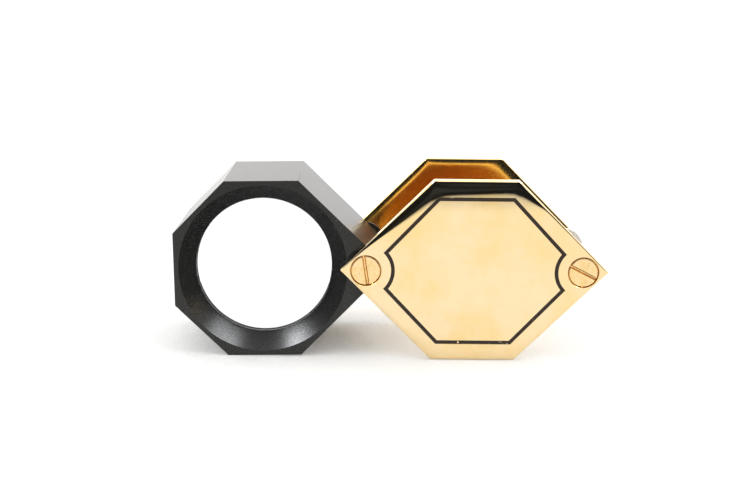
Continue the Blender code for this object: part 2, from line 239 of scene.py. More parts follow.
def turned(name, profile, segments=MEDIUM):
    """Turn a profile of (radius, y) points about the Y axis. A point at radius 0 is a pole."""
    build = bmesh.new()
    rings = []
    for radius, y in profile:
        if radius == 0.0:
            rings.append([build.verts.new((0.0, y, 0.0))])
            continue
        angles = [2 * math.pi * step / segments for step in range(segments)]
        rings.append([build.verts.new((radius * math.cos(a), y, radius * math.sin(a)))
                      for a in angles])
    pairs = list(zip(rings, rings[1:]))
    if len(rings[0]) > 1:
        pairs.append((rings[-1], rings[0]))
    for first, second in pairs:
        for step in range(segments):
            following = (step + 1) % segments
            corners = [first[step % len(first)], first[following % len(first)],
                       second[following % len(second)], second[step % len(second)]]
            build.faces.new(list(dict.fromkeys(corners)))
    return finished(name, build)


def prism(name, outline, near, far, edge=0.0):
    """Extrude a closed outline of (x, z) points along Y, with its rims bevelled by edge."""
    build = bmesh.new()
    face = build.faces.new([build.verts.new((x, near, z)) for x, z in outline])
    grown = bmesh.ops.extrude_face_region(build, geom=[face])
    moved = [item for item in grown["geom"] if isinstance(item, bmesh.types.BMVert)]
    bmesh.ops.translate(build, vec=(0.0, far - near, 0.0), verts=moved)
    bmesh.ops.recalc_face_normals(build, faces=build.faces)
    if edge:
        corners = [item for item in build.edges if item.calc_face_angle() > math.radians(30)]
        bmesh.ops.bevel(build, geom=corners, offset=edge, segments=2, profile=0.6,
                        affect="EDGES", clamp_overlap=True)
    return finished(name, build)


def bridge(build, loops):
    """Join each loop of vertices to the next with a strip of quads."""
    for first, second in zip(loops, loops[1:]):
        for step in range(len(first)):
            following = (step + 1) % len(first)
            build.faces.new((first[step], first[following], second[following], second[step]))


def frame_prism(name, outer, inner, near, far):
    """Extrude the strip between two outlines with equally many points along Y."""
    build = bmesh.new()
    loops = []
    for outline, y in ((outer, near), (inner, near), (inner, far), (outer, far)):
        loops.append([build.verts.new((x, y, z)) for x, z in outline])
    bridge(build, loops + loops[:1])
    return finished(name, build)


def cut_away(target, cutters, sharp_angle=30.0):
    """Cut the cutters out of the target's mesh, then remove them."""
    for cutter in cutters:
        boolean = target.modifiers.new(cutter.name, "BOOLEAN")
        boolean.operation = "DIFFERENCE"
        boolean.solver = "EXACT"
        boolean.object = cutter
    bake_modifiers(target)
    target.data.shade_smooth()
    target.data.set_sharp_from_angle(angle=math.radians(sharp_angle))
    for cutter in cutters:
        bpy.data.objects.remove(cutter, do_unlink=True)


def bake_modifiers(obj):
    """Replace an object's mesh with what its modifiers make of it."""
    bpy.context.view_layer.update()
    evaluated = obj.evaluated_get(bpy.context.evaluated_depsgraph_get())
    mesh = bpy.data.meshes.new_from_object(evaluated)
    obj.modifiers.clear()
    obj.data = mesh


def keep_flats_flat(obj):
    """Shade the large sides and the two end faces flat, so that fine bevels don't bend them."""
    for polygon in obj.data.polygons:
        if polygon.area > LARGE_FACE or abs(polygon.normal.y) > END_FACE:
            polygon.use_smooth = False


def shifted(obj, x):
    """Move an object's mesh along X."""
    obj.data.transform(Matrix.Translation((x, 0.0, 0.0)))
    return obj


def settle(obj, place, body, nodes, finish):
    """Put a piece in its place on a body, where it stands for one CAD node or several."""
    obj.matrix_world = place
    obj.data.materials.clear()
    obj.data.materials.append(finish)
    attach(obj, body)
    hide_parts(*nodes)


def axis_of(node):
    """The point on a round node's axis at y = 0."""
    low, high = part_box(node)
    return Vector(((low.x + high.x) / 2, 0.0, (low.z + high.z) / 2))


def ends_of(node):
    """Where a round node starts and ends along Y, and its radius."""
    low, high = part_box(node)
    return low.y, high.y, (high.x - low.x) / 2


# ---------------------------------------------------------------- places from the frame

plate_low, plate_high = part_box("front_cover_plate")
CASE_MIDDLE = Vector(((plate_low.x + plate_high.x) / 2, 0.0, (plate_low.z + plate_high.z) / 2))
HALF_LENGTH = (plate_high.x - plate_low.x) / 2
HALF_HEIGHT = (plate_high.z - plate_low.z) / 2
HALF_FLAT = HALF_LENGTH - HALF_HEIGHT
PLATE_OUTER = -plate_low.y
PLATE_INNER = -plate_high.y
PIVOT = axis_of("pivot_post")
SPACER = axis_of("spacer_post")
LENS = axis_of("lens_centre_crown")
HALF_SCREWS = (SPACER.x - PIVOT.x) / 2
DROOP = math.atan2(PIVOT.z - LENS.z, PIVOT.x - LENS.x)
HEAD_PLACE = Matrix.Translation(LENS) @ Matrix.Rotation(-DROOP, 4, "Y")
HALF_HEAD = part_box("lens_housing")[1].y
COUNTERBORE_RADIUS = ends_of("pivot_screw_front")[2] + COUNTERBORE_GAP


# ---------------------------------------------------------------- case

def case_outline(inset=0.0):
    """Corners of the long six-sided outline, moved inwards."""
    length = HALF_LENGTH - inset * math.sqrt(2)
    height = HALF_HEIGHT - inset
    flat = length - height
    return [(length, 0.0), (flat, height), (-flat, height),
            (-length, 0.0), (-flat, -height), (flat, -height)]


def divided(corners, counts):
    """The outline through the corners, with each side cut into its count of steps."""
    points = []
    for index, count in enumerate(counts):
        x0, z0 = corners[index]
        x1, z1 = corners[(index + 1) % len(corners)]
        for step in range(count):
            share = step / count
            points.append((x0 + (x1 - x0) * share, z0 + (z1 - z0) * share))
    return points


def towards_tip(x, start, end, reach):
    """A value that eases from start, at the corners of the level edges, to end. It gets there
    at reach times the way to the tip."""
    share = min(max((abs(x) - HALF_FLAT) / HALF_HEIGHT / reach, 0.0), 1.0)
    return start + (end - start) * share * share * (3 - 2 * share)


def edge_distances(x, z):
    """How far a point is from the top, bottom, upper right, upper left, lower right and lower
    left edges."""
    root = math.sqrt(2)
    return (HALF_HEIGHT - z, HALF_HEIGHT + z,
            (HALF_LENGTH - x - z) / root, (HALF_LENGTH + x - z) / root,
            (HALF_LENGTH - x + z) / root, (HALF_LENGTH + x + z) / root)


def outer_roll_widths(x):
    """Width of the rolled edge at each edge, in the order of edge_distances. The wheel bit
    most along the top, and least at the tips' upper edges."""
    top = TOP_ROLL - TOP_ROLL_CHANGE * x / HALF_FLAT
    lower = towards_tip(x, *LOWER_ROLL)
    return (top, BOTTOM_ROLL, towards_tip(x, *UPPER_RIGHT_ROLL),
            towards_tip(x, *UPPER_LEFT_ROLL), lower, lower)


def inner_roll_widths(x):
    """The same for the inner faces, whose rolled edges are shallower."""
    level = INNER_LEVEL_ROLL
    upper_right = towards_tip(x, *INNER_UPPER_RIGHT_ROLL)
    return level, level, upper_right, level, INNER_LOWER_ROLL, INNER_LOWER_ROLL


def outer_fillet(x):
    """Radius of the rounded rim of the outer faces, which is tighter towards the two tips, and
    most of all at the pivot."""
    tip = TIP_RIM_FILLET if x > 0 else PIVOT_TIP_FILLET
    return towards_tip(x, OUTER_RIM_FILLET, tip, FILLET_REACH)


def inner_fillet(_):
    """The same for the inner faces, whose rim is even."""
    return INNER_RIM_FILLET


def roll_drop(x, z, widths, angle, power, softness, fillet):
    """How far the buffed surface has fallen at a point."""
    distances = edge_distances(x, z)
    shares = [max(distance, 0.0) / width for distance, width in zip(distances, widths)]
    softness *= min(max(min(shares), 0.04), 1.0)
    weights = [math.exp(-share / softness) for share in shares]
    softest = -softness * math.log(sum(weights))
    width = sum(w * weight for w, weight in zip(widths, weights)) / sum(weights)
    inwards = min(max(1 - softest, 0.0), 1.0)
    drop = math.tan(angle) * width * inwards ** (power + 1) / (power + 1)
    nearest = max(min(distances), 0.0)
    if nearest < fillet:
        drop += fillet - math.sqrt(fillet ** 2 - (fillet - nearest) ** 2)
    return drop


def buffed_plate(name, side):
    """A cover plate whose edges the buffing wheel has rolled off on both faces."""
    corners = case_outline()
    counts = []
    for (x0, z0), (x1, z1) in zip(corners, corners[1:] + corners[:1]):
        counts.append(round(math.hypot(x1 - x0, z1 - z0) / PLATE_EDGE_SPACING))
    build = bmesh.new()
    outer = (outer_roll_widths, outer_fillet,
             (OUTER_ROLL_ANGLE, OUTER_ROLL_POWER, OUTER_CORNER_SOFTNESS))
    inner = (inner_roll_widths, inner_fillet,
             (INNER_ROLL_ANGLE, INNER_ROLL_POWER, INNER_CORNER_SOFTNESS))
    rims = []
    for level, inwards, face in ((PLATE_OUTER, -1, outer), (PLATE_INNER, 1, inner)):
        widths_at, fillet_at, roll = face
        loops = []
        for inset in ROLL_RINGS:
            loop = []
            for x, z in divided(case_outline(inset), counts):
                drop = roll_drop(x, z, widths_at(x), *roll, fillet_at(x))
                y = side * (level + inwards * drop)
                loop.append(build.verts.new((x, y, z)))
            loops.append(loop)
        bridge(build, loops)
        build.faces.new(loops[-1])
        rims.append(loops[0])
    bridge(build, rims)
    return finished(name, build, 50.0)


def border_outline(shift):
    """The border's line moved inwards by shift, with an arc round each screw."""
    run = 1 / math.tan(BORDER_SLANT)
    square = 1 + run ** 2
    radius = BORDER_ARC_RADIUS + shift
    tip = BORDER_TIP - shift / math.sin(BORDER_SLANT)
    top = HALF_HEIGHT - BORDER_INSET - shift
    corner = tip - top * run
    offset = HALF_SCREWS - tip
    meet_z = (math.sqrt(square * radius ** 2 - offset ** 2) - offset * run) / square
    half_arc = math.asin(meet_z / radius)
    right = []
    for step in range(BORDER_ARC_STEPS + 1):
        angle = half_arc - 2 * half_arc * step / BORDER_ARC_STEPS
        right.append((HALF_SCREWS - radius * math.cos(angle), radius * math.sin(angle)))
    left = [(-x, -z) for x, z in right]
    return [(corner, top)] + right + [(corner, -top), (-corner, -top)] + left + [(-corner, top)]


def screw_hole(name, side, x):
    """Cutter for a counterbored screw hole with a broken edge."""
    past_outer = side * (PLATE_OUTER + CUT_OVERSHOOT)
    edge = side * (PLATE_OUTER - COUNTERBORE_EDGE)
    floor = side * (PLATE_OUTER - COUNTERBORE_DEPTH)
    past_inner = side * (PLATE_INNER - CUT_OVERSHOOT)
    radius = COUNTERBORE_RADIUS
    wide = radius + COUNTERBORE_EDGE + CUT_OVERSHOOT
    profile = [(0.0, past_outer), (wide, past_outer), (radius, edge), (radius, floor),
               (SCREW_HOLE_RADIUS, floor), (SCREW_HOLE_RADIUS, past_inner), (0.0, past_inner)]
    return shifted(turned(name, profile), x)


def cover_plate(node, side, finish):
    """A cover plate with its holes; side is -1 at the front, which is engraved, and 1 at the
    rear."""
    plate = buffed_plate(node.replace("_plate", ""), side)
    cutters = [screw_hole("pivot_hole", side, -HALF_SCREWS),
               screw_hole("spacer_hole", side, HALF_SCREWS)]
    if side < 0:
        half = BORDER_WIDTH / 2
        cutters.append(frame_prism("groove", border_outline(-half), border_outline(half),
                                   -PLATE_OUTER - CUT_OVERSHOOT, -PLATE_OUTER + BORDER_DEPTH))
    cut_away(plate, cutters, 40.0)
    place = Matrix.Translation(CASE_MIDDLE)
    settle(plate, place, "case", [node], finish)


def border_enamel(finish):
    """The enamel, which lies a little below the engraved plate."""
    half = BORDER_WIDTH / 2 - ENAMEL_GAP
    near = -PLATE_OUTER + ENAMEL_SINK
    far = -PLATE_OUTER + BORDER_DEPTH - ENAMEL_GAP
    fill = frame_prism("border_enamel", border_outline(-half), border_outline(half), near, far)
    place = Matrix.Translation(CASE_MIDDLE)
    settle(fill, place, "case", ["front_border_enamel"], finish)


def slot_cutter(length, top, side, angle):
    """Cutter for a screwdriver slot with filleted lower corners."""
    half = SCREW_SLOT_WIDTH / 2
    fillet = SCREW_SLOT_FILLET
    section = [(half, CUT_OVERSHOOT)]
    for degrees in (0, 30, 60, 90):
        turn = math.radians(degrees)
        section.append((half - fillet + fillet * math.cos(turn),
                        fillet - SCREW_SLOT_DEPTH - fillet * math.sin(turn)))
    section += [(-across, depth) for across, depth in section[::-1]]
    build = bmesh.new()
    ends = []
    for along in (-length / 2, length / 2):
        ends.append([build.verts.new((along, top + side * depth, across))
                     for across, depth in section])
        build.faces.new(ends[-1])
    bridge(build, ends)
    bmesh.ops.rotate(build, matrix=Matrix.Rotation(angle, 3, "Y"), verts=build.verts)
    return finished("slot", build)


def screw(node, side, axis, slot_angle, finish):
    """A slotted screw with a rounded rim to its head and a thread on its shank."""
    near, far, radius = ends_of(node)
    radius -= SCREW_HEAD_GAP
    top, end = (far, near) if side > 0 else (near, far)
    under = top - side * SCREW_HEAD_THICKNESS
    profile = [(0.0, top), (radius - SCREW_RIM, top)]
    for degrees in (22.5, 45, 67.5, 90):
        turn = math.radians(degrees)
        profile.append((radius - SCREW_RIM * (1 - math.sin(turn)),
                        top - side * SCREW_RIM * (1 - math.cos(turn))))
    profile += [(radius, under), (SCREW_SHANK_RADIUS, under)]
    turns = int(abs(end - under) / THREAD_PITCH) - 1
    for step in range(1, turns):
        crest = under - side * THREAD_PITCH * step
        profile += [(SCREW_SHANK_RADIUS, crest),
                    (SCREW_SHANK_RADIUS - THREAD_DEPTH, crest - side * THREAD_PITCH / 2)]
    profile += [(SCREW_SHANK_RADIUS, end + side * THREAD_PITCH / 2),
                (0.6 * SCREW_SHANK_RADIUS, end), (0.0, end)]
    made = turned(node.replace("screw", "slotted_screw"), profile)
    cut_away(made, [slot_cutter(3 * radius, top, side, slot_angle)])
    keep_flats_flat(made)
    settle(made, Matrix.Translation(axis), "case", [node], finish)


def on_its_axis(node, name, profile, finish):
    """Turn a round piece of the case and settle it on its node's axis."""
    place = Matrix.Translation(axis_of(node))
    settle(turned(name, profile), place, "case", [node], finish)


def post(node, name, finish):
    """A round post with a chamfered hole in each end."""
    near, far, radius = ends_of(node)
    hole = POST_HOLE_RADIUS
    chamfer = POST_CHAMFER
    near_floor = near + POST_HOLE_DEPTH
    far_floor = far - POST_HOLE_DEPTH
    profile = [(0.0, near_floor), (hole, near_floor), (hole, near + chamfer),
               (hole + chamfer, near), (radius - chamfer, near), (radius, near + chamfer),
               (radius, far - chamfer), (radius - chamfer, far), (hole + chamfer, far),
               (hole, far - chamfer), (hole, far_floor), (0.0, far_floor)]
    on_its_axis(node, name, profile, finish)


def washer(node, name, bore, finish):
    """A flat washer with its corners rounded by tumbling."""
    near, far, radius = ends_of(node)
    soft = WASHER_SOFTNESS
    less = 0.3 * soft
    profile = [(bore + soft, near), (radius - soft, near), (radius - less, near + less),
               (radius, near + soft), (radius, far - soft), (radius - less, far - less),
               (radius - soft, far), (bore + soft, far), (bore, far - soft), (bore, near + soft)]
    on_its_axis(node, name, profile, finish)


def disc_spring(node, name, bore, finish):
    """A dished spring washer: its bore bears on the lug and its rim on the rear plate."""
    near, far, radius = ends_of(node)
    sheet = SPRING_SHEET
    soft = SPRING_SOFTNESS
    profile = [(bore, near), (radius - soft, far - sheet), (radius, far - sheet + soft),
               (radius, far - soft), (radius - soft, far), (bore, near + sheet)]
    on_its_axis(node, name, profile, finish)


# ---------------------------------------------------------------- lens head

def head_outline():
    """Seven flats of the octagon, and a lug that rounds off the long corner about the pivot."""
    flats = HEAD_HALF_FLATS
    side = flats * math.tan(math.pi / 8)
    lug = flats - PIVOT_OFFSET * math.sqrt(0.5)
    outline = [(side, flats), (-side, flats), (-flats, side),
               (-flats, -side), (-side, -flats), (side, -flats)]
    for step in range(LUG_STEPS + 1):
        angle = math.pi / 2 * (step / LUG_STEPS - 0.5)
        outline.append((PIVOT_OFFSET + lug * math.cos(angle), lug * math.sin(angle)))
    return outline


def lens_housing(finish):
    """The black body, with a cone at each end of the lens bore, a lip and the pivot bore."""
    housing = prism("housing", head_outline(), -HALF_HEAD, HALF_HEAD, HOUSING_EDGE)
    lip_start = -HALF_HEAD + FRONT_CONE_DEPTH
    lip_end = lip_start + LIP_LENGTH
    rear_start = HALF_HEAD - REAR_CONE_DEPTH
    past = HALF_HEAD + CUT_OVERSHOOT
    front_slope = (RECESS_RADIUS - APERTURE_RADIUS) / FRONT_CONE_DEPTH
    rear_slope = (RECESS_RADIUS - LENS_BORE_RADIUS) / REAR_CONE_DEPTH
    profile = [(0.0, -past), (RECESS_RADIUS + front_slope * CUT_OVERSHOOT, -past),
               (APERTURE_RADIUS + front_slope * 2 * LIP_EDGE, lip_start - 2 * LIP_EDGE),
               (APERTURE_RADIUS + front_slope * LIP_EDGE, lip_start - LIP_EDGE),
               (APERTURE_RADIUS + 0.15 * LIP_EDGE, lip_start + 0.1 * LIP_EDGE),
               (APERTURE_RADIUS, lip_start + LIP_EDGE),
               (APERTURE_RADIUS, lip_end), (LENS_BORE_RADIUS, lip_end),
               (LENS_BORE_RADIUS, rear_start),
               (RECESS_RADIUS + rear_slope * CUT_OVERSHOOT, past), (0.0, past)]
    bore = turned("bore", profile, FINE)
    pivot = turned("pivot", [(0.0, -past), (PIVOT_BORE_RADIUS, -past),
                             (PIVOT_BORE_RADIUS, past), (0.0, past)])
    cut_away(housing, [bore, shifted(pivot, PIVOT_OFFSET)], 20.0)
    keep_flats_flat(housing)
    settle(housing, HEAD_PLACE, "lens_head", ["lens_housing"], finish)


def triplet_lens(finish):
    """The cemented lens as one body of glass between its two outer faces."""
    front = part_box("lens_front_flint")[0].y
    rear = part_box("lens_rear_flint")[1].y
    front_face = []
    rear_face = []
    for step in range(LENS_RINGS + 1):
        radius = LENS_RADIUS * step / LENS_RINGS
        sag = OUTER_CURVE - math.sqrt(OUTER_CURVE ** 2 - radius ** 2)
        front_face.append((radius, front + sag))
        rear_face.append((radius, rear - sag))
    lens = turned("cemented_triplet", front_face + rear_face[::-1], FINE)
    nodes = ["lens_front_flint", "lens_centre_crown", "lens_rear_flint"]
    settle(lens, HEAD_PLACE, "lens_head", nodes, finish)


def seat_ring(node, name, outer_side, finish):
    """A ring with a hollow face that the glass beds in; outer_side is -1 for the front one and
    1 for the rear one."""
    low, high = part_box(node)
    flat = low.y if outer_side < 0 else high.y
    bed = high.y if outer_side < 0 else low.y
    hollow = bed + outer_side * SEAT_HOLLOW
    bore = APERTURE_RADIUS - SEAT_STEP
    profile = [(bore, flat), (SEAT_RADIUS, flat), (SEAT_RADIUS, bed), (bore, hollow)]
    settle(turned(name, profile, FINE), HEAD_PLACE, "lens_head", [node], finish)


def retaining_ring(finish):
    """A threaded ring with two spanner slots in its rear face."""
    near, far, _ = ends_of("retaining_ring")
    outer = THREADED_RADIUS
    root = outer - THREADED_GROOVE
    pitch = THREADED_PITCH
    profile = [(APERTURE_RADIUS, near), (root, near)]
    for step in range(int((far - near) / pitch) - 1):
        start = near + pitch * (step + 0.5)
        profile += [(outer, start), (root, start + pitch / 2)]
    profile += [(outer, far - THREADED_GROOVE), (root, far),
                (APERTURE_RADIUS + THREADED_CHAMFER, far),
                (APERTURE_RADIUS, far - THREADED_CHAMFER)]
    made = turned("threaded_ring", profile, FINE)
    half = SPANNER_SLOT_HALF
    length = outer + CUT_OVERSHOOT
    corners = [(-length, -half), (length, -half), (length, half), (-length, half)]
    slots = prism("slots", corners, far - half, far + CUT_OVERSHOOT)
    cut_away(made, [slots])
    settle(made, HEAD_PLACE, "lens_head", ["retaining_ring"], finish)


# ---------------------------------------------------------------- material tools

def node(tree, kind, inputs=None, **settings):
    """Add a shader node, with its settings and its inputs' values or links."""
    made = tree.nodes.new(kind)
    for name, value in settings.items():
        setattr(made, name, value)
    for name, value in (inputs or {}).items():
        if isinstance(value, bpy.types.NodeSocket):
            tree.links.new(value, made.inputs[name])
        else:
            made.inputs[name].default_value = value
    return made


def new_material(name):
    """A material, its node tree and its Principled shader."""
    made = bpy.data.materials.new(name)
    made.use_nodes = True
    return made, made.node_tree, made.node_tree.nodes["Principled BSDF"]


def noise(tree, coordinates, scale, detail=3.0, roughness=0.55):
    """A noise value; scale is in features per millimetre."""
    made = node(tree, "ShaderNodeTexNoise",
                {"Vector": coordinates, "Scale": scale / MM, "Detail": detail,
                 "Roughness": roughness})
    return made.outputs["Fac"]


def ramp(tree, value, low, high, to_low, to_high):
    """Map a value from one range to another, clamped."""
    made = node(tree, "ShaderNodeMapRange", {"Value": value, "From Min": low, "From Max": high,
                                             "To Min": to_low, "To Max": to_high})
    return made.outputs["Result"]


def mix_colour(tree, factor, first, second):
    """From the first colour at factor 0 to the second at 1; each is a value or a link."""
    made = node(tree, "ShaderNodeMix", data_type="RGBA")
    tree.links.new(factor, made.inputs[0])
    for index, value in ((6, first), (7, second)):
        if isinstance(value, bpy.types.NodeSocket):
            tree.links.new(value, made.inputs[index])
        else:
            made.inputs[index].default_value = (*value, 1.0)
    return made.outputs[2]


def maths(tree, operation, *values):
    """The result of a Math node on values or links."""
    made = node(tree, "ShaderNodeMath", operation=operation)
    for index, value in enumerate(values):
        if isinstance(value, bpy.types.NodeSocket):
            tree.links.new(value, made.inputs[index])
        else:
            made.inputs[index].default_value = value
    return made.outputs[0]


def object_coordinates(tree):
    return node(tree, "ShaderNodeTexCoord").outputs["Object"]


def split(tree, coordinates):
    """The X, Y and Z outputs of a coordinate."""
    return node(tree, "ShaderNodeSeparateXYZ", {"Vector": coordinates}).outputs


def depth_of(tree, coordinates):
    """How far a point lies from y = 0."""
    return maths(tree, "ABSOLUTE", split(tree, coordinates)["Y"])


def length_of(tree, across, up):
    """The length of a flat vector."""
    across = maths(tree, "MULTIPLY", across, across)
    up = maths(tree, "MULTIPLY", up, up)
    return maths(tree, "SQRT", maths(tree, "ADD", across, up))


def bump(tree, shader, height, distance):
    made = node(tree, "ShaderNodeBump", {"Height": height, "Distance": distance})
    tree.links.new(made.outputs["Normal"], shader.inputs["Normal"])


def radial_coordinates(tree, coordinates):
    """Coordinates that only change with the distance from the Y axis and along it, and that
    distance."""
    parts = split(tree, coordinates)
    radius = length_of(tree, parts["X"], parts["Z"])
    joined = node(tree, "ShaderNodeCombineXYZ", {"X": radius, "Y": parts["Y"]})
    return joined.outputs["Vector"], radius


def specks(tree, coordinates, spacing, share, radius):
    """Small ragged specks, in a share of the cells of a random pattern spacing wide."""
    cells = node(tree, "ShaderNodeTexVoronoi", {"Vector": coordinates, "Scale": 1 / spacing,
                                                "Randomness": 1.0})
    parts = node(tree, "ShaderNodeSeparateColor", {"Color": cells.outputs["Color"]})
    chosen = maths(tree, "LESS_THAN", parts.outputs["Red"], share)
    size = maths(tree, "MULTIPLY", parts.outputs["Green"], radius / spacing)
    ragged = ramp(tree, noise(tree, coordinates, 0.0012 / radius, 3.0), 0.35, 0.65, 0.5, 2.5)
    distance = maths(tree, "MULTIPLY", cells.outputs["Distance"], ragged)
    inside = maths(tree, "LESS_THAN", distance, size)
    return maths(tree, "MULTIPLY", chosen, inside)


# ---------------------------------------------------------------- materials

def counterbored(tree, coordinates):
    """1 inside the screws' counterbores, and 0 on the rest of a cover plate."""
    parts = split(tree, coordinates)
    across = maths(tree, "SUBTRACT", maths(tree, "ABSOLUTE", parts["X"]), HALF_SCREWS)
    distance = length_of(tree, across, parts["Z"])
    return maths(tree, "LESS_THAN", distance, COUNTERBORE_RADIUS + 0.01 * MM)


def gold_plate():
    """Mirror-polished gold plate with faint clouds, buffing waves and hairlines. The inner faces
    and the counterbores are rougher, and painted darker as painted shade between the plates and in
    the counterbores."""
    made, tree, shader = new_material("polished_gold")
    place = object_coordinates(tree)
    depth = depth_of(tree, place)
    inside = ramp(tree, depth, PLATE_INNER + 0.2 * MM, PLATE_INNER + 0.4 * MM, 1.0, 0.0)
    clouds = ramp(tree, noise(tree, place, 0.13, 4.0, 0.62), 0.40, 0.64, 0.0, 1.0)
    colour = mix_colour(tree, clouds, BRIGHT_GOLD, CLOUDED_GOLD)
    # painted shade between the plates: the inner faces get a darker gold
    colour = mix_colour(tree, inside, colour, SHADED_INNER_GOLD)
    bored = counterbored(tree, place)
    # painted shade in the counterbores: a darker, more orange gold
    colour = mix_colour(tree, bored, colour, SHADED_RECESS_GOLD)
    tree.links.new(colour, shader.inputs["Base Color"])
    shader.inputs["Metallic"].default_value = 1.0
    hairs = node(tree, "ShaderNodeMapping", {"Vector": place, "Scale": (1.0, 1.0, 0.06)})
    hairlines = noise(tree, hairs.outputs["Vector"], 9.0, 2.0)
    polish = ramp(tree, hairlines, 0.45, 0.8, 0.03, 0.09)
    dull = maths(tree, "MULTIPLY", inside, 0.1)
    dull = maths(tree, "ADD", dull, maths(tree, "MULTIPLY", bored, 0.3))
    tree.links.new(maths(tree, "ADD", polish, dull), shader.inputs["Roughness"])
    waves = noise(tree, place, 0.35, 2.0)
    bump(tree, shader, waves, 0.004 * MM)
    return made


def screw_gold():
    """Gold plate over turned brass, with fine rings, scratches and duller patches. The rims and
    the slots' walls are rougher, and painted a darker, more orange gold as painted shade in the
    hollows."""
    made, tree, shader = new_material("screw_gold_plate")
    place = object_coordinates(tree)
    rings, _ = radial_coordinates(tree, place)
    patches = noise(tree, place, 0.9, 4.0)
    colour = mix_colour(tree, ramp(tree, patches, 0.4, 0.7, 0.0, 1.0),
                        SCREW_GOLD, WORN_SCREW_GOLD)
    depth = depth_of(tree, place)
    slot_floor = PLATE_OUTER - SCREW_SLOT_DEPTH
    sunk = ramp(tree, depth, PLATE_OUTER - 0.2 * MM, PLATE_OUTER - 0.1 * MM, 1.0, 0.0)
    above_floor = ramp(tree, depth, slot_floor, slot_floor + 0.02 * MM, 0.0, 1.0)
    sunk = maths(tree, "MULTIPLY", sunk, above_floor)
    # painted shade on the rims and the slots' walls: a darker, more orange gold
    colour = mix_colour(tree, sunk, colour, SHADED_RECESS_GOLD)
    tree.links.new(colour, shader.inputs["Base Color"])
    shader.inputs["Metallic"].default_value = 1.0
    polish = ramp(tree, patches, 0.3, 0.8, 0.06, 0.2)
    polish = maths(tree, "ADD", polish, maths(tree, "MULTIPLY", sunk, 0.25))
    tree.links.new(polish, shader.inputs["Roughness"])
    slips = node(tree, "ShaderNodeMapping", {"Vector": place, "Rotation": (0.0, 0.9, 0.0),
                                             "Scale": (1.0, 1.0, 0.15)})
    scratches = ramp(tree, noise(tree, slips.outputs["Vector"], 3.5, 2.0), 0.62, 0.66, 1.0, 0.0)
    lines = maths(tree, "MULTIPLY", noise(tree, rings, 7.0, 3.0), 0.02)
    bump(tree, shader, maths(tree, "ADD", lines, scratches), 0.02 * MM)
    return made


def black_enamel():
    """Enamel in the engraved line, chipped in a few places to show the metal."""
    made, tree, shader = new_material("engraving_enamel")
    place = object_coordinates(tree)
    chips = ramp(tree, noise(tree, place, 0.8, 5.0, 0.7), 0.66, 0.68, 0.0, 1.0)
    tone = noise(tree, place, 1.2, 3.0)
    black = mix_colour(tree, tone, DARK_ENAMEL, BROWN_ENAMEL)
    colour = mix_colour(tree, chips, black, CHIPPED_GOLD)
    tree.links.new(colour, shader.inputs["Base Color"])
    tree.links.new(chips, shader.inputs["Metallic"])
    shader.inputs["Roughness"].default_value = 0.45
    shader.inputs["Specular IOR Level"].default_value = 0.2
    bump(tree, shader, noise(tree, place, 8.0), 0.01 * MM)
    return made


def octagon_distance(tree, coordinates):
    """How far a point lies from the middle, measured square to the nearest flat."""
    parts = split(tree, coordinates)
    across = maths(tree, "ABSOLUTE", parts["X"])
    up = maths(tree, "ABSOLUTE", parts["Z"])
    slant = maths(tree, "MULTIPLY", maths(tree, "ADD", across, up), math.sqrt(0.5))
    return maths(tree, "MAXIMUM", maths(tree, "MAXIMUM", across, up), slant)


def anodised():
    """Satin black anodising: fine grain, turned rings in the cones, a darker black in the recess
    as painted shade, dust on the end faces, and bare bright nicks on the corners."""
    made, tree, shader = new_material("black_anodised_aluminium")
    place = object_coordinates(tree)
    grain = noise(tree, place, 4.5, 4.0, 0.7)
    smudges = noise(tree, place, 0.25, 3.0)
    black = mix_colour(tree, smudges, ANODISED_BLACK, SMUDGED_BLACK)
    outwards = octagon_distance(tree, place)
    face = ramp(tree, outwards, HEAD_HALF_FLATS - 0.1 * MM, HEAD_HALF_FLATS - 0.05 * MM, 1.0, 0.0)
    rings, radius = radial_coordinates(tree, place)
    inside = ramp(tree, radius, RECESS_RADIUS - 0.02 * MM, RECESS_RADIUS, 1.0, 0.0)
    flat = maths(tree, "SUBTRACT", face, inside)
    clusters = ramp(tree, noise(tree, place, 0.15, 2.0), 0.5, 0.6, 0.0, 1.0)
    turned_place = node(tree, "ShaderNodeMapping", {"Vector": place, "Rotation": (0.4, 0.6, 0.9)})
    dust = specks(tree, turned_place.outputs["Vector"], 0.35 * MM, 0.2, 0.08 * MM)
    dust = maths(tree, "MULTIPLY", maths(tree, "MULTIPLY", dust, flat), clusters)
    rims = ramp(tree, depth_of(tree, place), HALF_HEAD - 0.12 * MM, HALF_HEAD, 0.0, 1.0)
    across = split(tree, place)["X"]
    off_lug = maths(tree, "LESS_THAN", across, HEAD_HALF_FLATS - 0.2 * MM)
    worn = ramp(tree, outwards, HEAD_HALF_FLATS - 0.12 * MM, HEAD_HALF_FLATS - 0.05 * MM, 0.0, 1.0)
    worn = maths(tree, "MULTIPLY", maths(tree, "MULTIPLY", worn, rims), off_lug)
    nicks = maths(tree, "MULTIPLY", specks(tree, place, 0.7 * MM, 0.1, 0.3 * MM), worn)
    marks = maths(tree, "MAXIMUM", maths(tree, "MULTIPLY", dust, 0.35), nicks)
    turned_lines = noise(tree, rings, 9.0, 2.0)
    # painted shade in the recess: a darker black inside it
    black = mix_colour(tree, inside, black, SHADED_RECESS_BLACK)
    colour = mix_colour(tree, marks, black, BARE_ALUMINIUM)
    tree.links.new(colour, shader.inputs["Base Color"])
    shader.inputs["IOR"].default_value = 1.37
    blasted = maths(tree, "MULTIPLY", maths(tree, "SUBTRACT", 1.0, face), 0.06)
    satin = maths(tree, "ADD", ramp(tree, grain, 0.3, 0.7, 0.25, 0.31), blasted)
    tree.links.new(satin, shader.inputs["Roughness"])
    lines = maths(tree, "MULTIPLY", turned_lines, inside)
    height = maths(tree, "ADD", maths(tree, "MULTIPLY", grain, 0.5), lines)
    bump(tree, shader, height, 0.0015 * MM)
    return made


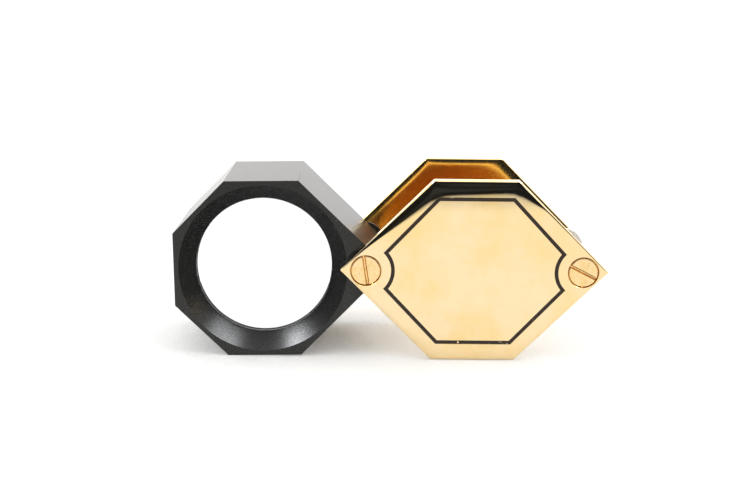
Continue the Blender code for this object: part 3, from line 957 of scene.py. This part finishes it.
def turned_metal(name, colour, dull, roughness):
    """Turned metal with rings round its axis, which run from dull to its full colour."""
    made, tree, shader = new_material(name)
    place = object_coordinates(tree)
    rings, _ = radial_coordinates(tree, place)
    lines = noise(tree, rings, 6.0, 3.0)
    shade = mix_colour(tree, ramp(tree, lines, 0.3, 0.7, 0.0, 1.0), dull, colour)
    tree.links.new(shade, shader.inputs["Base Color"])
    shader.inputs["Metallic"].default_value = 1.0
    low, high = roughness
    tree.links.new(ramp(tree, lines, 0.3, 0.7, low, high), shader.inputs["Roughness"])
    bump(tree, shader, lines, 0.002 * MM)
    return made


def seat_plastic():
    """Matt black plastic with a fine moulded grain."""
    made, tree, shader = new_material("matt_seat_plastic")
    place = object_coordinates(tree)
    grain = noise(tree, place, 6.0, 3.0)
    colour = mix_colour(tree, grain, DARK_PLASTIC, PALE_PLASTIC)
    tree.links.new(colour, shader.inputs["Base Color"])
    tree.links.new(ramp(tree, grain, 0.3, 0.7, 0.6, 0.75), shader.inputs["Roughness"])
    bump(tree, shader, grain, 0.01 * MM)
    return made


def glass():
    """Clear coated glass with a trace of dust on it, and a ground and blackened edge."""
    made, tree, shader = new_material("coated_glass")
    place = object_coordinates(tree)
    _, radius = radial_coordinates(tree, place)
    ground = maths(tree, "GREATER_THAN", radius, LENS_RADIUS - 0.03 * MM)
    marks = specks(tree, place, 2.0 * MM, 0.15, 0.1 * MM)
    rough = maths(tree, "MAXIMUM", maths(tree, "MULTIPLY", marks, 0.12), ground)
    tree.links.new(rough, shader.inputs["Roughness"])
    colour = mix_colour(tree, ground, PURE_WHITE, BLACKENED_GLASS)
    tree.links.new(colour, shader.inputs["Base Color"])
    clear = maths(tree, "SUBTRACT", 1.0, ground)
    tree.links.new(clear, shader.inputs["Transmission Weight"])
    shader.inputs["IOR"].default_value = 1.55
    return made


def paper():
    """White paper with a soft tooth. Away from the object it glows, so that it stays white to
    its edge; in reflections it is brighter towards the back."""
    made, tree, shader = new_material("white_paper")
    place = object_coordinates(tree)
    fibres = noise(tree, place, 1.1, 5.0, 0.7)
    colour = mix_colour(tree, fibres, SHADED_PAPER, LIT_PAPER)
    tree.links.new(colour, shader.inputs["Base Color"])
    shader.inputs["Roughness"].default_value = 0.85
    shader.inputs["Specular IOR Level"].default_value = 0.2
    bump(tree, shader, fibres, 0.4 * MM)
    away = node(tree, "ShaderNodeVectorMath", {0: place, 1: GLOW_CENTRE}, operation="DISTANCE")
    away = away.outputs["Value"]
    share = ramp(tree, away, GLOW_START, GLOW_FULL, 0.0, 1.0)
    behind = ramp(tree, split(tree, place)["Y"], 0.05, 0.3, WHITE, BRIGHT)
    glossy = node(tree, "ShaderNodeLightPath").outputs["Is Glossy Ray"]
    mirrored = maths(tree, "MULTIPLY", glossy, behind)
    direct = maths(tree, "MULTIPLY", maths(tree, "SUBTRACT", 1.0, glossy), OVEREXPOSED)
    glow = node(tree, "ShaderNodeEmission", {"Strength": maths(tree, "ADD", mirrored, direct)})
    mixed = node(tree, "ShaderNodeMixShader", {0: share})
    tree.links.new(shader.outputs[0], mixed.inputs[1])
    tree.links.new(glow.outputs[0], mixed.inputs[2])
    tree.links.new(mixed.outputs[0], tree.nodes["Material Output"].inputs["Surface"])
    return made


# ---------------------------------------------------------------- studio

def floor():
    """The paper that the object stands on."""
    build = bmesh.new()
    bmesh.ops.create_grid(build, x_segments=2, y_segments=2, size=FLOOR_HALF)
    made = finished("floor", build)
    made.data.materials.append(paper())


def only_mirrored(obj):
    """Let only mirror-like reflections see a stage card."""
    obj.visible_camera = False
    obj.visible_diffuse = False
    obj.visible_transmission = False
    obj.visible_shadow = False


def painted_dark_room_reflection():
    """A glowing card that only mirror-like surfaces see, a painted reflection of the unlit room in
    front: a strip of floor that falls off into the dark, and the dark above it, with faint shapes
    painted in it."""
    build = bmesh.new()
    rows = [[build.verts.new((x, y, z)) for x in ROOM_ENDS] for y, z in ROOM_PATH]
    for first, second in zip(rows, rows[1:]):
        build.faces.new((first[0], first[1], second[1], second[0]))
    made = finished("painted_dark_room_reflection", build)
    material, tree, shader = new_material("painted_dark_room_reflection")
    tree.nodes.remove(shader)
    place = object_coordinates(tree)
    along = split(tree, place)["Y"]
    falloff = ramp(tree, along, ROOM_DARK_FROM, ROOM_PATH[0][0], 0.0, 1.0)
    falloff = maths(tree, "POWER", falloff, 1.5)
    shapes = ramp(tree, noise(tree, place, 0.012, 2.0), 0.5, 0.7, 0.0, 1.0)
    # painted reflection: the dark of the room with faint shapes, brightening to white at the floor
    dark = mix_colour(tree, shapes, PAINTED_DARK_ROOM, PAINTED_ROOM_SHAPES)
    colour = mix_colour(tree, falloff, dark, (WHITE, WHITE, WHITE))
    light = node(tree, "ShaderNodeEmission", {"Color": colour, "Strength": 1.0})
    tree.links.new(light.outputs[0], tree.nodes["Material Output"].inputs["Surface"])
    made.data.materials.append(material)
    only_mirrored(made)


def softbox(name, location, width, height, radiance, colour):
    """A rectangular lamp that faces the object, with an even radiance. Returns its object."""
    light = bpy.data.lights.new(name, "AREA")
    light.shape = "RECTANGLE"
    light.size = width
    light.size_y = height
    light.energy = radiance * math.pi * width * height
    light.color = colour
    made = bpy.data.objects.new(name, light)
    made.location = location
    aim = Vector(LAMP_TARGET) - Vector(location)
    made.rotation_euler = aim.to_track_quat("-Z", "Y").to_euler()
    bpy.context.collection.objects.link(made)
    made.visible_camera = False
    made.visible_transmission = False
    return made


def white_world():
    """White all round, brighter overhead in reflections, and dimmer as a light for matt
    surfaces, which the lamps also reach."""
    world = bpy.data.worlds.new("white_studio")
    world.use_nodes = True
    tree = world.node_tree
    rays = node(tree, "ShaderNodeLightPath")
    direction = node(tree, "ShaderNodeTexCoord").outputs["Generated"]
    mirrored = ramp(tree, split(tree, direction)["Z"], 0.45, 0.8, WHITE, ZENITH)
    base = ramp(tree, rays.outputs["Is Diffuse Ray"], 0.0, 1.0, OVEREXPOSED, SKY_FOR_MATT)
    glossy = rays.outputs["Is Glossy Ray"]
    mirrored = maths(tree, "MULTIPLY", glossy, mirrored)
    others = maths(tree, "MULTIPLY", maths(tree, "SUBTRACT", 1.0, glossy), base)
    strength = maths(tree, "ADD", mirrored, others)
    tree.links.new(strength, tree.nodes["Background"].inputs["Strength"])
    tree.nodes["Background"].inputs["Color"].default_value = (*PURE_WHITE, 1.0)
    bpy.context.scene.world = world


def studio():
    """White all round, and lamps: the two narrow ones only show in reflections, and the
    overhead one only lights matt surfaces."""
    white_world()
    floor()
    painted_dark_room_reflection()
    left = softbox("left_softbox", *LEFT_LAMP)
    right = softbox("right_softbox", *RIGHT_LAMP)
    overhead = softbox("overhead_softbox", *OVERHEAD_LAMP)
    softbox("back_light", *BACK_LAMP)
    softbox("left_back_light", *LEFT_BACK_LAMP)
    left.visible_diffuse = False
    right.visible_diffuse = False
    overhead.visible_glossy = False
    bpy.context.scene.cycles.glossy_bounces = 10


def camera():
    """A short distance in front, looking slightly down, with a slight lean to the right."""
    data = bpy.data.cameras.new("camera")
    data.sensor_width = SENSOR_WIDTH
    data.lens = FOCAL_LENGTH
    data.clip_start = 0.01
    made = bpy.data.objects.new("camera", data)
    bpy.context.collection.objects.link(made)
    offset = Matrix.Translation((CAMERA_X, -PLATE_OUTER - CAMERA_BACK, CAMERA_Z))
    pitch = Matrix.Rotation(math.pi / 2 - CAMERA_DOWN, 4, "X")
    yaw = Matrix.Rotation(-CAMERA_RIGHT, 4, "Z")
    lean = Matrix.Rotation(-CAMERA_LEAN, 4, "Y")
    made.matrix_world = Matrix.Translation(CASE_MIDDLE) @ lean @ offset @ yaw @ pitch
    bpy.context.scene.camera = made
    bpy.context.scene.view_settings.view_transform = "Standard"


# ---------------------------------------------------------------- the loupe

def case():
    """The fixed body: plates, enamel, posts, washers, spring and screws."""
    gold = gold_plate()
    brass = screw_gold()
    steel = turned_metal("turned_pivot_steel", *PIVOT_STEEL)
    nickel = turned_metal("satin_nickel", *SATIN_NICKEL)
    dark = turned_metal("blackened", *BLACKENED_STEEL)
    cover_plate("front_cover_plate", -1, gold)
    cover_plate("rear_cover_plate", 1, gold)
    border_enamel(black_enamel())
    screw("pivot_screw_front", -1, PIVOT, PIVOT_FRONT_SLOT, brass)
    screw("pivot_screw_rear", 1, PIVOT, PIVOT_REAR_SLOT, brass)
    screw("spacer_screw_front", -1, SPACER, SPACER_FRONT_SLOT, brass)
    screw("spacer_screw_rear", 1, SPACER, SPACER_REAR_SLOT, brass)
    post("pivot_post", "turned_pivot_post", steel)
    post("spacer_post", "turned_spacer_post", nickel)
    washer("spacer_washer", "tumbled_spacer_washer", SPACER_WASHER_BORE, nickel)
    washer("pivot_washer", "tumbled_pivot_washer", PIVOT_WASHER_BORE, dark)
    disc_spring("pivot_spring_washer", "dished_spring", PIVOT_WASHER_BORE, dark)


def lens_head():
    """The moving body: housing, lens, seats and retaining ring."""
    black = anodised()
    plastic = seat_plastic()
    lens_housing(black)
    triplet_lens(glass())
    seat_ring("front_seat_ring", "front_seat", -1, plastic)
    seat_ring("rear_seat_ring", "rear_seat", 1, plastic)
    retaining_ring(black)


case()
lens_head()
studio()
camera()
